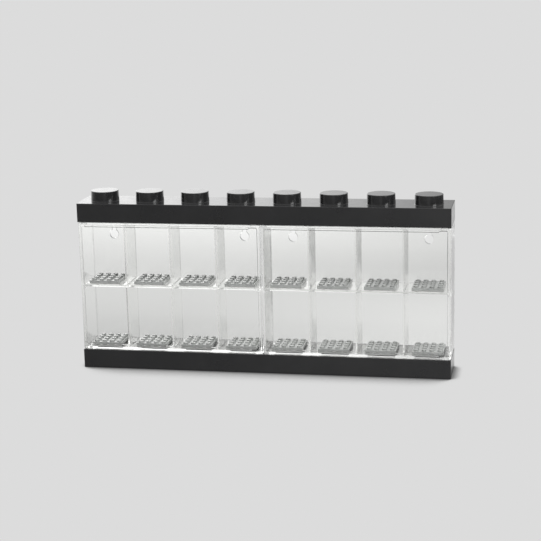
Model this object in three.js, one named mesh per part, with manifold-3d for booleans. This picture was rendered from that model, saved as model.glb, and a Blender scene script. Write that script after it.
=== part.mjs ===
// Display case for small toy figures.
// A black cap with eight studs and a black base hold two clear cabinets side by side.
// Each cabinet is an open-fronted clear shell with a shelf, three dividers, eight grey
// studded plates and a clear door that swings on moulded pivot pins at its left edge.
// Lengths are millimetres. +Z is up, +X runs to the right along the front, -Y faces the viewer.
// The origin is the middle of the footprint, at the height of the table.

import * as THREE from 'three';
import { mergeVertices } from 'three/addons/utils/BufferGeometryUtils.js';
import Module from 'manifold-3d';

const wasm = await Module();
wasm.setup();

// Whole case
const CASE_WIDTH = 382;
const CASE_DEPTH = 47;
const COLUMN_COUNT = 8;
const CABINET_COUNT = 2;
const BASE_HEIGHT = 19.5;
const WINDOW_HEIGHT = 135;
const CAP_HEIGHT = 19.4;

// Clearances, and the overrun that every cutting or joining block takes past a face
const SEAT_GAP = 0.3;
const PIVOT_GAP = 0.3;
const DOOR_END_GAP = 0.5;
const CABINET_GAP = 0.3;
const OVERRUN = 0.8;

// Black cap and base
const MOULDING_WALL = 2.5;
const MOULDING_DECK = 2.5;
const STUD_BOTTOM_DIAMETER = 29;
const STUD_TOP_DIAMETER = 28.3;
const STUD_HEIGHT = 10.2;
const STUD_WALL = 2.2;
const STUD_SIDES = 24;
const GRIP_GAP = 0.1;
const GRIP_RIB_THICKNESS = 2;
const POST_WALL = 2;
const POST_SIDES = 20;

// Pegs that join the cabinets to the cap and the base
const PEG_DIAMETER = 6;
const PEG_LENGTH = 4;
const PEG_SIDES = 12;
const PEG_SOCKET_WALL = 1.8;

// Clear cabinet shell, shelf and dividers
const SHELL_WALL = 2.5;
const SHELF_THICKNESS = 2.5;
const SHELF_INSET = 1.8;
const DIVIDER_FRONT_THICKNESS = 1.5;
const DIVIDER_BACK_THICKNESS = 2;
const LEDGE_SIZE = 1.6;
const SEAT_HEIGHT = 1.4;
const BAR_WIDTH = 4.2;
const KNOB_DIAMETER = 4.2;
const KNOB_SIDES = 8;
const KEYHOLE_HEAD_DIAMETER = 9.4;
const KEYHOLE_SHANK_DIAMETER = 4.6;
const KEYHOLE_RISE = 6;
const KEYHOLE_DROP = 20.7;
const KEYHOLE_SIDE_INSET = 25.35;
const KEYHOLE_SIDES = 16;

// Clear door, with its pivots on the left and its catches on the right
const DOOR_DEPTH = 4.3;
const DOOR_PANE = 2.2;
const DOOR_RIM = 3.2;
const DOOR_CORNER_RADIUS = 0.8;
const RECESS_CORNER_RADIUS = 1.6;
const DOOR_ARC_STEPS = 6;
const LIP_THICKNESS = 2;
const LIP_REACH = 1.5;
const PIVOT_DIAMETER = 2;
const PIVOT_LENGTH = 4;
const PIVOT_SIDES = 12;
const PIVOT_BOSS_WALL = 1.4;
const LUG_WIDTH = 6.5;
const LUG_HEIGHT = 4.4;
const CATCH_WIDTH = 5;
const CATCH_REACH = 1.9;
const CATCH_SIDE_INSET = 7.5;

// Grey plates with studs on top
const PLATE_STUDS = 4;
const PLATE_PITCH = 8;
const PLATE_PLAY = 0.2;
const PLATE_HEIGHT = 3.2;
const PLATE_WALL = 1.5;
const PLATE_DECK = 1;
const PLATE_STUD_DIAMETER = 4.8;
const PLATE_STUD_HEIGHT = 1.7;
const PLATE_STUD_SIDES = 8;

// Places worked out from the sizes above, across the case
const PITCH = CASE_WIDTH / COLUMN_COUNT;
const FRONT = -CASE_DEPTH / 2;
const BACK = CASE_DEPTH / 2;
const COLUMNS_PER_CABINET = COLUMN_COUNT / CABINET_COUNT;
const ROOM_PER_CABINET = CASE_WIDTH / CABINET_COUNT;
const CABINET_WIDTH = ROOM_PER_CABINET - CABINET_GAP;
const CABINET_SIDE = CABINET_WIDTH / 2;

// Places worked out up the case
const CAP_BOTTOM = BASE_HEIGHT + WINDOW_HEIGHT;
const CAP_TOP = CAP_BOTTOM + CAP_HEIGHT;
const STUD_TOP = CAP_TOP + STUD_HEIGHT;
const SHELL_BOTTOM = BASE_HEIGHT + SEAT_GAP;
const SHELL_TOP = CAP_BOTTOM - SEAT_GAP;
const FLOOR_TOP = SHELL_BOTTOM + SHELL_WALL;
const CEILING = SHELL_TOP - SHELL_WALL;
const SHELF_BOTTOM = (FLOOR_TOP + CEILING - SHELF_THICKNESS) / 2;
const SHELF_TOP = SHELF_BOTTOM + SHELF_THICKNESS;

// Places worked out from front to back
const DOOR_BACK = FRONT + DOOR_DEPTH;
const PANE_BACK = FRONT + DOOR_PANE;
const SHELL_FRONT = DOOR_BACK + SEAT_GAP;
const SHELL_INNER_BACK = BACK - SHELL_WALL;
const SHELF_FRONT = SHELL_FRONT + SHELF_INSET;
const SHELF_BACK = SHELL_INNER_BACK - SEAT_GAP;
const SHELF_MIDDLE = (SHELF_FRONT + SHELF_BACK) / 2;
const LIP_BACK = SHELL_FRONT + LIP_REACH;

// Radii and shared sizes
const STUD_BOTTOM_RADIUS = STUD_BOTTOM_DIAMETER / 2;
const STUD_TOP_RADIUS = STUD_TOP_DIAMETER / 2;
const POST_RADIUS = PITCH / 2 - STUD_BOTTOM_RADIUS - GRIP_GAP;
const PEG_RADIUS = PEG_DIAMETER / 2;
const PEG_HOLE_RADIUS = PEG_RADIUS + SEAT_GAP;
const PIVOT_RADIUS = PIVOT_DIAMETER / 2;
const PIVOT_HOLE_RADIUS = PIVOT_RADIUS + PIVOT_GAP;
const PIVOT_BOSS_HALF = PIVOT_HOLE_RADIUS + PIVOT_BOSS_WALL;
const HINGE_RADIUS = DOOR_DEPTH / 2;
const DOOR_LEFT = -CABINET_SIDE + SEAT_GAP;
const DOOR_RIGHT = CABINET_SIDE - SEAT_GAP;
const DOOR_BOTTOM = BASE_HEIGHT + DOOR_END_GAP;
const DOOR_TOP = CAP_BOTTOM - DOOR_END_GAP;
const PIVOT_X = DOOR_LEFT + HINGE_RADIUS;
const PIVOT_Y = FRONT + HINGE_RADIUS;
const PIVOT_TIP_TOP = DOOR_TOP + PIVOT_LENGTH;
const PIVOT_TIP_BOTTOM = DOOR_BOTTOM - PIVOT_LENGTH;
const CATCH_X = CABINET_SIDE - CATCH_SIDE_INSET;
const PLATE_SIZE = PLATE_STUDS * PLATE_PITCH - PLATE_PLAY;
const PLATE_RECESS = PLATE_SIZE - 2 * PLATE_WALL;
const BAR_LENGTH = PLATE_RECESS - 2 * SEAT_GAP;
const KNOB_RADIUS = KNOB_DIAMETER / 2;
const KNOB_OUT = PLATE_RECESS / 2 - SEAT_GAP - KNOB_RADIUS;

// A plate has as many whole rows of studs from front to back as fit between the door's lips
// and the shell's back, with a clearance at both
const PLATE_ROOM = 2 * (Math.min(-LIP_BACK, SHELL_INNER_BACK) - SEAT_GAP);
const PLATE_STUD_ROWS = Math.floor((PLATE_ROOM + PLATE_PLAY) / PLATE_PITCH);
const PLATE_DEPTH = PLATE_STUD_ROWS * PLATE_PITCH - PLATE_PLAY;
const PLATE_RECESS_DEPTH = PLATE_DEPTH - 2 * PLATE_WALL;
const KNOB_OUT_DEPTH = PLATE_RECESS_DEPTH / 2 - SEAT_GAP - KNOB_RADIUS;

// Finishes
const BLACK_FINISH = { color: 0x202123, roughness: 0.2, metalness: 0 };
const GREY_FINISH = { color: 0xa0a2a3, roughness: 0.15, metalness: 0 };
const CLEAR_FINISH = {
  color: 0xf2f4f1,
  roughness: 0.06,
  metalness: 0,
  transparent: true,
  opacity: 0.3,
};

// A closed three.js geometry as a solid that can be joined and cut
function solid(geometry) {
  const bare = geometry.clone();
  bare.deleteAttribute('normal');
  bare.deleteAttribute('uv');
  const merged = mergeVertices(bare);
  return new wasm.Manifold(new wasm.Mesh({
    numProp: 3,
    vertProperties: new Float32Array(merged.attributes.position.array),
    triVerts: new Uint32Array(merged.index.array),
  }));
}

// A solid back as a three.js geometry
function geometryOf(body) {
  const mesh = body.getMesh();
  const geometry = new THREE.BufferGeometry();
  geometry.setAttribute('position', new THREE.BufferAttribute(mesh.vertProperties, 3));
  geometry.setIndex(new THREE.BufferAttribute(mesh.triVerts, 1));
  geometry.computeVertexNormals();
  return geometry;
}

// A rectangular block between two values on each axis
function block([x0, x1], [y0, y1], [z0, z1]) {
  const geometry = new THREE.BoxGeometry(x1 - x0, y1 - y0, z1 - z0);
  geometry.translate((x0 + x1) / 2, (y0 + y1) / 2, (z0 + z1) / 2);
  return solid(geometry);
}

// An upright round bar or cone at x, y between two heights
function upright(x, y, [z0, z1], bottomRadius, topRadius, sides) {
  const geometry = new THREE.CylinderGeometry(topRadius, bottomRadius, z1 - z0, sides);
  geometry.rotateX(Math.PI / 2);
  geometry.translate(x, y, (z0 + z1) / 2);
  return solid(geometry);
}

// A round bar that runs from front to back at x, z
function frontToBack(x, z, [y0, y1], radius, sides) {
  const geometry = new THREE.CylinderGeometry(radius, radius, y1 - y0, sides);
  geometry.translate(x, (y0 + y1) / 2, z);
  return solid(geometry);
}

// A range of the given size about a middle
function around(middle, size) {
  return [middle - size / 2, middle + size / 2];
}

function join(pieces) {
  return pieces.reduce((whole, piece) => whole.add(piece));
}

function cut(whole, tools) {
  return tools.reduce((left, tool) => left.subtract(tool), whole);
}

// The middle of each column in a row of the given count, about zero
function columnMiddles(count) {
  return Array.from({ length: count }, (_, i) => (i - (count - 1) / 2) * PITCH);
}

// The lines between neighbouring columns in a row of the given count, about zero
function columnBoundaries(count) {
  return columnMiddles(count - 1);
}

// The middle of each cabinet across the case
function cabinetMiddles() {
  return Array.from(
    { length: CABINET_COUNT },
    (_, i) => (i - (CABINET_COUNT - 1) / 2) * ROOM_PER_CABINET,
  );
}

// The places of a row of the given count of a plate's studs, about the plate's middle
function studRow(count) {
  return Array.from({ length: count }, (_, i) => (i - (count - 1) / 2) * PLATE_PITCH);
}

// The pegs stand on the outermost column boundaries inside each cabinet
function pegPlaces() {
  const boundaries = columnBoundaries(COLUMNS_PER_CABINET);
  return [boundaries[0], boundaries[boundaries.length - 1]];
}

// Pivot boss, filling the corner behind the front wall, between two heights
function pivotBoss(middle, heights) {
  const x = middle + PIVOT_X;
  const y = [FRONT + MOULDING_WALL / 2, PIVOT_Y + PIVOT_BOSS_HALF];
  const left = Math.max(x - PIVOT_BOSS_HALF, -CASE_WIDTH / 2 + MOULDING_WALL / 2);
  return block([left, x + PIVOT_BOSS_HALF], y, heights);
}

function pivotHole(middle, heights) {
  return upright(middle + PIVOT_X, PIVOT_Y, heights, PIVOT_HOLE_RADIUS, PIVOT_HOLE_RADIUS, PIVOT_SIDES);
}

// The base is a hollow tray, open below, that grips the studs of a case underneath
// with ribs on its walls and round posts between the studs.
function makeBase() {
  const deckBottom = BASE_HEIGHT - MOULDING_DECK;
  const halfWidth = CASE_WIDTH / 2;
  const ribReach = STUD_BOTTOM_RADIUS + GRIP_GAP;
  const wallInside = BACK - MOULDING_WALL / 2;
  const endInside = halfWidth - MOULDING_WALL / 2;
  const solidHeights = [0, deckBottom + MOULDING_DECK / 2];
  const bossHeights = [PIVOT_TIP_BOTTOM - SEAT_GAP - MOULDING_DECK, deckBottom + MOULDING_DECK / 2];
  const holeHeights = [PIVOT_TIP_BOTTOM - SEAT_GAP, BASE_HEIGHT + OVERRUN];

  const tray = cut(block([-halfWidth, halfWidth], [FRONT, BACK], [0, BASE_HEIGHT]), [
    block(
      [-halfWidth + MOULDING_WALL, halfWidth - MOULDING_WALL],
      [FRONT + MOULDING_WALL, BACK - MOULDING_WALL],
      [-OVERRUN, deckBottom],
    ),
  ]);

  const ribs = [];
  for (const x of columnMiddles(COLUMN_COUNT)) {
    ribs.push(block(around(x, GRIP_RIB_THICKNESS), [-wallInside, -ribReach], solidHeights));
    ribs.push(block(around(x, GRIP_RIB_THICKNESS), [ribReach, wallInside], solidHeights));
  }
  const lastColumn = columnMiddles(COLUMN_COUNT)[COLUMN_COUNT - 1];
  const endRib = [lastColumn + ribReach, endInside];
  ribs.push(block(endRib, around(0, GRIP_RIB_THICKNESS), solidHeights));
  ribs.push(block([-endRib[1], -endRib[0]], around(0, GRIP_RIB_THICKNESS), solidHeights));

  const posts = columnBoundaries(COLUMN_COUNT).map((x) => cut(
    upright(x, 0, solidHeights, POST_RADIUS, POST_RADIUS, POST_SIDES),
    [upright(x, 0, [-OVERRUN, deckBottom], POST_RADIUS - POST_WALL, POST_RADIUS - POST_WALL, POST_SIDES)],
  ));

  const bosses = cabinetMiddles().map((middle) => pivotBoss(middle, bossHeights));
  const holes = cabinetMiddles().map((middle) => pivotHole(middle, holeHeights));
  const pegHoles = cabinetMiddles().flatMap((middle) => pegPlaces().map((x) => upright(
    middle + x,
    0,
    [deckBottom - OVERRUN, BASE_HEIGHT + OVERRUN],
    PEG_HOLE_RADIUS,
    PEG_HOLE_RADIUS,
    PEG_SIDES,
  )));
  return cut(join([tray, ...ribs, ...posts, ...bosses]), [...holes, ...pegHoles]);
}

// The cap is a hollow lid, open below, with a row of hollow studs on top.
function makeCap() {
  const deckBottom = CAP_TOP - MOULDING_DECK;
  const halfWidth = CASE_WIDTH / 2;
  const bossHeights = [CAP_BOTTOM, PIVOT_TIP_TOP + SEAT_GAP + MOULDING_DECK];
  const holeHeights = [CAP_BOTTOM - OVERRUN, PIVOT_TIP_TOP + SEAT_GAP];
  const socketHeights = [CAP_BOTTOM, deckBottom + MOULDING_DECK / 2];
  const socketRadius = PEG_HOLE_RADIUS + PEG_SOCKET_WALL;

  const lid = block([-halfWidth, halfWidth], [FRONT, BACK], [CAP_BOTTOM, CAP_TOP]);
  const hollow = block(
    [-halfWidth + MOULDING_WALL, halfWidth - MOULDING_WALL],
    [FRONT + MOULDING_WALL, BACK - MOULDING_WALL],
    [CAP_BOTTOM - OVERRUN, deckBottom],
  );
  const studs = columnMiddles(COLUMN_COUNT).map((x) => upright(
    x,
    0,
    [CAP_TOP - MOULDING_DECK / 2, STUD_TOP],
    STUD_BOTTOM_RADIUS,
    STUD_TOP_RADIUS,
    STUD_SIDES,
  ));
  const studHollows = columnMiddles(COLUMN_COUNT).map((x) => upright(
    x,
    0,
    [deckBottom - OVERRUN, STUD_TOP - STUD_WALL],
    STUD_BOTTOM_RADIUS - STUD_WALL,
    STUD_TOP_RADIUS - STUD_WALL,
    STUD_SIDES,
  ));
  const shell = cut(join([lid, ...studs]), [hollow, ...studHollows]);

  const sockets = cabinetMiddles().flatMap((middle) => pegPlaces().map((x) => upright(
    middle + x,
    0,
    socketHeights,
    socketRadius,
    socketRadius,
    PEG_SIDES,
  )));
  const pegHoles = cabinetMiddles().flatMap((middle) => pegPlaces().map((x) => upright(
    middle + x,
    0,
    [CAP_BOTTOM - OVERRUN, SHELL_TOP + PEG_LENGTH + SEAT_GAP],
    PEG_HOLE_RADIUS,
    PEG_HOLE_RADIUS,
    PEG_SIDES,
  )));
  const bosses = cabinetMiddles().map((middle) => pivotBoss(middle, bossHeights));
  const holes = cabinetMiddles().map((middle) => pivotHole(middle, holeHeights));
  return cut(join([shell, ...sockets, ...bosses]), [...pegHoles, ...holes]);
}

// A hanging hole: a round opening for the screw head with a narrow slot above it
function keyhole(x) {
  const z = SHELL_TOP - KEYHOLE_DROP;
  const through = [SHELL_INNER_BACK - OVERRUN, BACK + OVERRUN];
  const shankRadius = KEYHOLE_SHANK_DIAMETER / 2;
  return join([
    frontToBack(x, z, through, KEYHOLE_HEAD_DIAMETER / 2, KEYHOLE_SIDES),
    frontToBack(x, z + KEYHOLE_RISE, through, shankRadius, KEYHOLE_SIDES),
    block(around(x, KEYHOLE_SHANK_DIAMETER), through, [z, z + KEYHOLE_RISE]),
  ]);
}

// A low bar in each column of the shell's floor under each row of a plate's studs.
// The plate's hollow underside drops over them.
function floorBars() {
  const heights = [FLOOR_TOP - SHELL_WALL / 2, FLOOR_TOP + SEAT_HEIGHT];
  return columnMiddles(COLUMNS_PER_CABINET).flatMap((x) => studRow(PLATE_STUD_ROWS).map(
    (y) => block(around(x, BAR_LENGTH), around(y, BAR_WIDTH), heights),
  ));
}

// Four round knobs in each column of the shelf. They stand in the corners of a plate's
// hollow underside, which drops over them.
function shelfKnobs() {
  const heights = [SHELF_TOP - SHELF_THICKNESS / 2, SHELF_TOP + SEAT_HEIGHT];
  const across = [-KNOB_OUT, KNOB_OUT];
  const deep = [-KNOB_OUT_DEPTH, KNOB_OUT_DEPTH];
  return columnMiddles(COLUMNS_PER_CABINET).flatMap((middle) => across.flatMap(
    (x) => deep.map((y) => upright(middle + x, y, heights, KNOB_RADIUS, KNOB_RADIUS, KNOB_SIDES)),
  ));
}

// The shell of a cabinet: floor, ceiling, two sides and a back in one clear moulding,
// with pegs for the cap and base, shelf ledges, plate bars, door catches and keyholes.
function makeShell() {
  const inside = CABINET_SIDE - SHELL_WALL;
  const box = cut(
    block([-CABINET_SIDE, CABINET_SIDE], [SHELL_FRONT, BACK], [SHELL_BOTTOM, SHELL_TOP]),
    [block([-inside, inside], [SHELL_FRONT - OVERRUN, SHELL_INNER_BACK], [FLOOR_TOP, CEILING])],
  );
  const ledgeHeights = [SHELF_BOTTOM - SEAT_GAP - LEDGE_SIZE, SHELF_BOTTOM - SEAT_GAP];
  const ledgeDepth = [SHELF_FRONT, SHELL_INNER_BACK + SHELL_WALL / 2];
  const ledge = [inside - LEDGE_SIZE, CABINET_SIDE - SHELL_WALL / 2];
  const catchDepth = [SHELL_FRONT - CATCH_REACH, SHELL_FRONT + SHELL_WALL / 2];
  const pegs = pegPlaces().flatMap((x) => [
    [SHELL_BOTTOM - PEG_LENGTH, SHELL_BOTTOM + SHELL_WALL / 2],
    [SHELL_TOP - SHELL_WALL / 2, SHELL_TOP + PEG_LENGTH],
  ].map((heights) => upright(x, 0, heights, PEG_RADIUS, PEG_RADIUS, PEG_SIDES)));
  const shell = join([
    box,
    block(ledge, ledgeDepth, ledgeHeights),
    block([-ledge[1], -ledge[0]], ledgeDepth, ledgeHeights),
    block(around(CATCH_X, CATCH_WIDTH), catchDepth, [SHELL_BOTTOM, FLOOR_TOP - SEAT_GAP]),
    block(around(CATCH_X, CATCH_WIDTH), catchDepth, [CEILING + SEAT_GAP, SHELL_TOP]),
    ...floorBars(),
    ...pegs,
  ]);
  const keyholeX = CABINET_SIDE - KEYHOLE_SIDE_INSET;
  return cut(shell, [keyhole(-keyholeX), keyhole(keyholeX)]);
}

// The shelf has a slot from its back edge for each divider, and knobs for each plate.
function makeShelf() {
  const side = CABINET_SIDE - SHELL_WALL - SEAT_GAP;
  const slotWidth = DIVIDER_BACK_THICKNESS + 2 * SEAT_GAP;
  const board = block([-side, side], [SHELF_FRONT, SHELF_BACK], [SHELF_BOTTOM, SHELF_TOP]);
  const slots = columnBoundaries(COLUMNS_PER_CABINET).map((x) => block(
    around(x, slotWidth),
    [SHELF_MIDDLE, SHELF_BACK + OVERRUN],
    [SHELF_BOTTOM - OVERRUN, SHELF_TOP + OVERRUN],
  ));
  return cut(join([board, ...shelfKnobs()]), slots);
}

// A divider tapers towards its front edge, as a moulding does that is drawn forwards
// from its mould, and has a slot from that edge that slides over the shelf.
function makeDivider() {
  const [frontLeft, frontRight] = around(0, DIVIDER_FRONT_THICKNESS);
  const [backLeft, backRight] = around(0, DIVIDER_BACK_THICKNESS);
  const [bottom, top] = [FLOOR_TOP + SEAT_GAP, CEILING - SEAT_GAP];
  const outline = new THREE.Shape();
  outline.moveTo(frontLeft, SHELF_FRONT);
  outline.lineTo(frontRight, SHELF_FRONT);
  outline.lineTo(backRight, SHELF_BACK);
  outline.lineTo(backLeft, SHELF_BACK);
  const geometry = new THREE.ExtrudeGeometry(outline, { depth: top - bottom, bevelEnabled: false });
  geometry.translate(0, 0, bottom);
  const panel = solid(geometry);
  const slot = block(
    around(0, DIVIDER_BACK_THICKNESS + 2 * OVERRUN),
    [SHELF_FRONT - OVERRUN, SHELF_MIDDLE + SEAT_GAP],
    [SHELF_BOTTOM - SEAT_GAP, SHELF_TOP + SEAT_GAP],
  );
  return cut(panel, [slot]);
}

// The outline of the door from above: a half-round left edge about the pivot axis,
// small rounds on the right.
function doorOutline() {
  const shape = new THREE.Shape();
  const r = DOOR_CORNER_RADIUS;
  shape.moveTo(PIVOT_X, FRONT);
  shape.lineTo(DOOR_RIGHT - r, FRONT);
  shape.absarc(DOOR_RIGHT - r, FRONT + r, r, -Math.PI / 2, 0, false);
  shape.lineTo(DOOR_RIGHT, DOOR_BACK - r);
  shape.absarc(DOOR_RIGHT - r, DOOR_BACK - r, r, 0, Math.PI / 2, false);
  shape.lineTo(PIVOT_X, DOOR_BACK);
  shape.absarc(PIVOT_X, PIVOT_Y, HINGE_RADIUS, Math.PI / 2, Math.PI * 1.5, false);
  return shape;
}

// A lug that thickens a pivot corner of the rim, with a sloped side.
// towards is 1 at the bottom of the door and -1 at the top.
function pivotLug(edge, towards) {
  const slope = LUG_HEIGHT - DOOR_RIM;
  const left = PIVOT_X;
  const right = DOOR_LEFT + LUG_WIDTH;
  const shape = new THREE.Shape();
  shape.moveTo(left, edge + towards * (DOOR_RIM / 2));
  shape.lineTo(right, edge + towards * (DOOR_RIM / 2));
  shape.lineTo(right, edge + towards * DOOR_RIM);
  shape.lineTo(right - slope, edge + towards * LUG_HEIGHT);
  shape.lineTo(left, edge + towards * LUG_HEIGHT);
  const depth = DOOR_BACK - FRONT - DOOR_PANE / 2;
  const geometry = new THREE.ExtrudeGeometry(shape, { depth, bevelEnabled: false });
  geometry.rotateX(Math.PI / 2);
  geometry.translate(0, DOOR_BACK, 0);
  return solid(geometry);
}

// The recess inside the rim: a rectangle with rounded corners, cut from the back
function doorRecess() {
  const [left, right] = [DOOR_LEFT + DOOR_RIM, DOOR_RIGHT - DOOR_RIM];
  const [bottom, top] = [DOOR_BOTTOM + DOOR_RIM, DOOR_TOP - DOOR_RIM];
  const r = RECESS_CORNER_RADIUS;
  const shape = new THREE.Shape();
  shape.moveTo(left + r, bottom);
  shape.absarc(right - r, bottom + r, r, -Math.PI / 2, 0, false);
  shape.absarc(right - r, top - r, r, 0, Math.PI / 2, false);
  shape.absarc(left + r, top - r, r, Math.PI / 2, Math.PI, false);
  shape.absarc(left + r, bottom + r, r, Math.PI, Math.PI * 1.5, false);
  const depth = DOOR_BACK + OVERRUN - PANE_BACK;
  const geometry = new THREE.ExtrudeGeometry(shape, {
    depth,
    bevelEnabled: false,
    curveSegments: DOOR_ARC_STEPS,
  });
  geometry.rotateX(Math.PI / 2);
  geometry.translate(0, PANE_BACK + depth, 0);
  return solid(geometry);
}

// A lip that runs from the lug to the catch and reaches into the mouth of the shell,
// just inside its floor or ceiling, and keeps dust out
function doorLip(heights) {
  return block(
    [DOOR_LEFT + LUG_WIDTH, CATCH_X - CATCH_WIDTH / 2 - LIP_THICKNESS],
    [PANE_BACK - DOOR_PANE / 2, SHELL_FRONT + LIP_REACH],
    heights,
  );
}

// The door: a flat pane inside a raised rim, with a pivot pin at the top and bottom
// of its left edge and a pocket for each catch near its right edge.
function makeDoor() {
  const height = DOOR_TOP - DOOR_BOTTOM;
  const geometry = new THREE.ExtrudeGeometry(doorOutline(), {
    depth: height,
    bevelEnabled: false,
    curveSegments: DOOR_ARC_STEPS,
  });
  geometry.translate(0, 0, DOOR_BOTTOM);
  const pocketWidth = around(CATCH_X, CATCH_WIDTH + 2 * SEAT_GAP);
  const pocketDepth = [PANE_BACK, DOOR_BACK + OVERRUN];
  const pockets = [
    block(pocketWidth, pocketDepth, [DOOR_BOTTOM - OVERRUN, FLOOR_TOP]),
    block(pocketWidth, pocketDepth, [CEILING, DOOR_TOP + OVERRUN]),
  ];
  const pins = [
    [PIVOT_TIP_BOTTOM, DOOR_BOTTOM + DOOR_RIM / 2],
    [DOOR_TOP - DOOR_RIM / 2, PIVOT_TIP_TOP],
  ].map((heights) => upright(PIVOT_X, PIVOT_Y, heights, PIVOT_RADIUS, PIVOT_RADIUS, PIVOT_SIDES));
  const lugs = [pivotLug(DOOR_BOTTOM, 1), pivotLug(DOOR_TOP, -1)];
  const lips = [
    doorLip([FLOOR_TOP + SEAT_GAP, FLOOR_TOP + SEAT_GAP + LIP_THICKNESS]),
    doorLip([CEILING - SEAT_GAP - LIP_THICKNESS, CEILING - SEAT_GAP]),
  ];
  return join([cut(solid(geometry), [doorRecess(), ...pockets]), ...lugs, ...lips, ...pins]);
}

// A square plate with a grid of studs and a hollow underside, standing on z = 0
function makePlate() {
  const half = PLATE_SIZE / 2;
  const halfDepth = PLATE_DEPTH / 2;
  const radius = PLATE_STUD_DIAMETER / 2;
  const studs = studRow(PLATE_STUDS).flatMap((x) => studRow(PLATE_STUD_ROWS).map((y) => upright(
    x,
    y,
    [PLATE_HEIGHT - PLATE_DECK / 2, PLATE_HEIGHT + PLATE_STUD_HEIGHT],
    radius,
    radius,
    PLATE_STUD_SIDES,
  )));
  const slab = block([-half, half], [-halfDepth, halfDepth], [0, PLATE_HEIGHT]);
  const recess = block(
    around(0, PLATE_RECESS),
    around(0, PLATE_RECESS_DEPTH),
    [-OVERRUN, PLATE_HEIGHT - PLATE_DECK],
  );
  return cut(join([slab, ...studs]), [recess]);
}

function addPiece(parent, name, geometry, finish, x = 0, z = 0) {
  const mesh = new THREE.Mesh(geometry, new THREE.MeshStandardMaterial(finish));
  mesh.name = name;
  mesh.position.set(x, 0, z);
  parent.add(mesh);
}

const displayCase = new THREE.Group();
addPiece(displayCase, 'base', geometryOf(makeBase()), BLACK_FINISH);
addPiece(displayCase, 'cap', geometryOf(makeCap()), BLACK_FINISH);

const CABINET_SIDES = ['left', 'right'];
const shellGeometry = geometryOf(makeShell());
const shelfGeometry = geometryOf(makeShelf());
const dividerGeometry = geometryOf(makeDivider());
const doorGeometry = geometryOf(makeDoor());
const plateGeometry = geometryOf(makePlate());
const PLATE_ROWS = [
  { row: 'lower', z: FLOOR_TOP + SEAT_GAP },
  { row: 'upper', z: SHELF_TOP + SEAT_GAP },
];

cabinetMiddles().forEach((middle, index) => {
  const side = CABINET_SIDES[index];
  const cabinet = new THREE.Group();
  cabinet.position.x = middle;
  addPiece(cabinet, `${side}_shell`, shellGeometry, CLEAR_FINISH);
  addPiece(cabinet, `${side}_shelf`, shelfGeometry, CLEAR_FINISH);
  columnBoundaries(COLUMNS_PER_CABINET).forEach((x, i) => {
    addPiece(cabinet, `${side}_divider_${i + 1}`, dividerGeometry, CLEAR_FINISH, x);
  });
  for (const { row, z } of PLATE_ROWS) {
    columnMiddles(COLUMNS_PER_CABINET).forEach((x, i) => {
      addPiece(cabinet, `${side}_${row}_plate_${i + 1}`, plateGeometry, GREY_FINISH, x, z);
    });
  }
  addPiece(cabinet, `${side}_door`, doorGeometry, CLEAR_FINISH);
  displayCase.add(cabinet);
});

export default displayCase;
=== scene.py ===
"""Display case for sixteen small toy figures: a black studded cap and base hold two clear
cabinets with a shelf, dividers, grey studded plates and a swinging clear door each.
Lengths are millimetres up to the point where a mesh is made. +Z is up, +X runs to the right
along the front, and -Y faces the viewer."""

import math

import bpy
import numpy as np
from mathutils import Matrix


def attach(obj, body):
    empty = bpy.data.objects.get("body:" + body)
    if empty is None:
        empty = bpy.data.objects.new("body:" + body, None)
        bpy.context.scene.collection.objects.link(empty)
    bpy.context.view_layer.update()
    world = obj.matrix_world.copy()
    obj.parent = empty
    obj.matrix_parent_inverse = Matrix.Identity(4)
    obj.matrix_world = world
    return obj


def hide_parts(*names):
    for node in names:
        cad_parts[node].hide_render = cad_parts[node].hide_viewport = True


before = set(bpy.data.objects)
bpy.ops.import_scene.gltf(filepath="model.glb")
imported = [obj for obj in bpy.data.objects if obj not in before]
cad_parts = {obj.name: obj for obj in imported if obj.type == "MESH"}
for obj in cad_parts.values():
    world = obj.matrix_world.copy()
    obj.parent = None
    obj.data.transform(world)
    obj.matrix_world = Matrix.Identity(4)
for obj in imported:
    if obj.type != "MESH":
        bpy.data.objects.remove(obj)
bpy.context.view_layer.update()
scene = bpy.context.scene

# The base: a black moulded tray, hollow below, so that it grips the studs of a case beneath
# with ribs on its walls and seven round posts. Gloss black plastic, moulded in one piece, with
# four holes in its deck for the cabinets' pegs and two bosses for the doors' pins.
MM = 0.001
HALF_WIDTH = 191.0
HALF_DEPTH = 23.5
COLUMN = 47.75
WALL = 2.5
BASE_TOP = 19.5
BASE_DECK = 17.0
OUTER_CORNER = 0.8
LEAST_CORNER = 0.4
EDGE = 0.45
OVERRUN = 0.8
POST_RADIUS = 9.275
POST_BORE = 7.275
PEG_HOLE = 3.3
PIN_HOLE = 1.3
RIB_HALF = 1.0
RIB_REACH = 14.6
RIB_LOW, RIB_HIGH = 0.3, 18.2
RIB_OUT_DEEP, RIB_OUT_WIDE = 22.2, 189.7
BOSS_HALF = 2.7
BOSS_FRONT = 0.9
PIN_HOLE_END = 15.7
PIN_X = -92.9
PIN_Y = -21.35
CABINETS = {"left": -95.5, "right": 95.5}
PEG_PLACES = np.array([[c + s * COLUMN, 0, 0] for c in CABINETS.values() for s in (-1, 1)])
PIN_PLACES = np.array([[c + PIN_X, PIN_Y, 0] for c in CABINETS.values()])
COLUMNS = np.array([[(i - 3.5) * COLUMN, 0, 0] for i in range(8)])
BOUNDARIES = np.array([[(i - 3) * COLUMN, 0, 0] for i in range(7)])


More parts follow.
